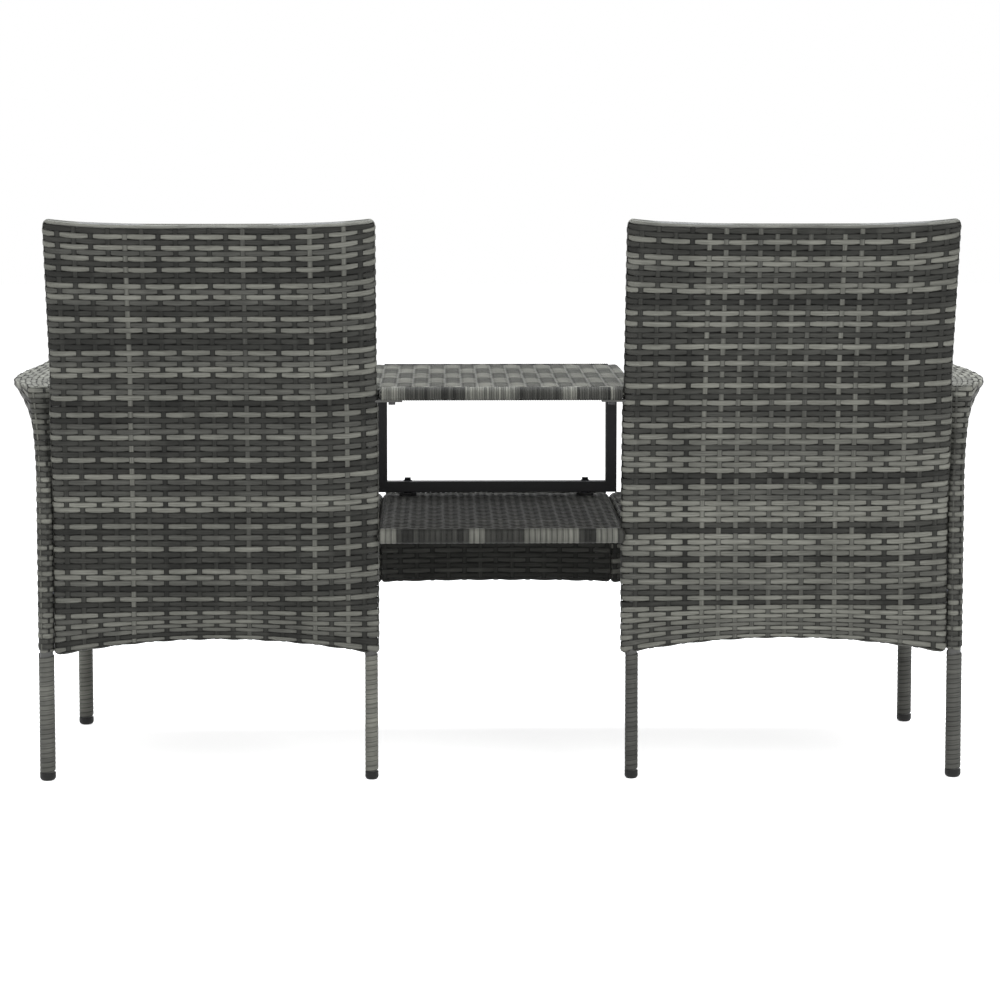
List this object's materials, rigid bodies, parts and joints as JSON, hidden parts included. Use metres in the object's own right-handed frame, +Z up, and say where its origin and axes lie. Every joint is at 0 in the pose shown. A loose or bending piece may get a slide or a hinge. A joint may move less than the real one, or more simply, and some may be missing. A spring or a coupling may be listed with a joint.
{
  "type": "two-seat garden bench with a tea table between the seats",
  "caption": "Woven garden bench for two: a pair of cushioned seats with tall bowed backs and flared arms, joined by a small table over a shelf.",
  "frame": {"origin": "on the floor under the middle of the bench's bounding box", "axes": "+Z up, +X towards the sitters' left along the bench, sitters face -Y"},
  "size_m": [1.4824, 0.5745, 0.8395],
  "materials": {
    "cane_weave": "flat mixed-grey plastic cane, woven",
    "leg_cane": "flat light-grey plastic cane, wound",
    "cushion_fabric": "charcoal woven polyester cover",
    "foot_plastic": "dark grey moulded plastic",
    "pad_rubber": "black rubber",
    "zinc_steel": "bright zinc plate",
    "black_steel": "black powder coat",
    "frame_steel": "dark powder coat"
  },
  "bodies": {
    "bench": {"apron_rail_left": "frame_steel", "apron_rail_middle": "frame_steel", "apron_rail_right": "frame_steel", "apron_weave_left": "cane_weave", "apron_weave_middle": "cane_weave", "apron_weave_right": "cane_weave", "arm_rod_left": "frame_steel", "arm_rod_right": "frame_steel", "back_frame_left": "frame_steel", "back_frame_right": "frame_steel", "back_leg_bolts": "zinc_steel", "back_weave_left": "cane_weave", "back_weave_right": "cane_weave", "foot_cap_front_outer_left": "foot_plastic", "foot_cap_front_outer_right": "foot_plastic", "foot_cap_rear_inner_left": "foot_plastic", "foot_cap_rear_inner_right": "foot_plastic", "foot_cap_rear_outer_left": "foot_plastic", "foot_cap_rear_outer_right": "foot_plastic", "leg_wrap_front_outer_left": "leg_cane", "leg_wrap_front_outer_right": "leg_cane", "leg_wrap_rear_inner_left": "leg_cane", "leg_wrap_rear_inner_right": "leg_cane", "leg_wrap_rear_outer_left": "leg_cane", "leg_wrap_rear_outer_right": "leg_cane", "seat_back_bolts_left": "zinc_steel", "seat_back_bolts_right": "zinc_steel", "seat_frame_left": "frame_steel", "seat_frame_right": "frame_steel", "seat_side_bolts_left": "zinc_steel", "seat_side_bolts_right": "zinc_steel", "seat_weave_left": "cane_weave", "seat_weave_right": "cane_weave", "shelf_bolts": "zinc_steel", "shelf_frame": "frame_steel", "shelf_weave": "cane_weave", "side_frame_left": "frame_steel", "side_frame_right": "frame_steel", "side_weave_left": "cane_weave", "side_weave_right": "cane_weave", "support_bolts": "zinc_steel", "support_pads": "pad_rubber", "support_washers": "zinc_steel", "table_frame": "frame_steel", "table_screws": "zinc_steel", "table_support": "black_steel", "table_weave": "cane_weave"},
    "left_cushion": {"seat_cushion_left": "cushion_fabric"},
    "right_cushion": {"seat_cushion_right": "cushion_fabric"}
  },
  "joints": [
    {"name": "left_cushion_lift", "type": "slide", "parent": "bench", "child": "left_cushion", "axis": [0, 0, 1], "range_m": [0, 0.5]},
    {"name": "right_cushion_lift", "type": "slide", "parent": "bench", "child": "right_cushion", "axis": [0, 0, 1], "range_m": [0, 0.5]}
  ]
}
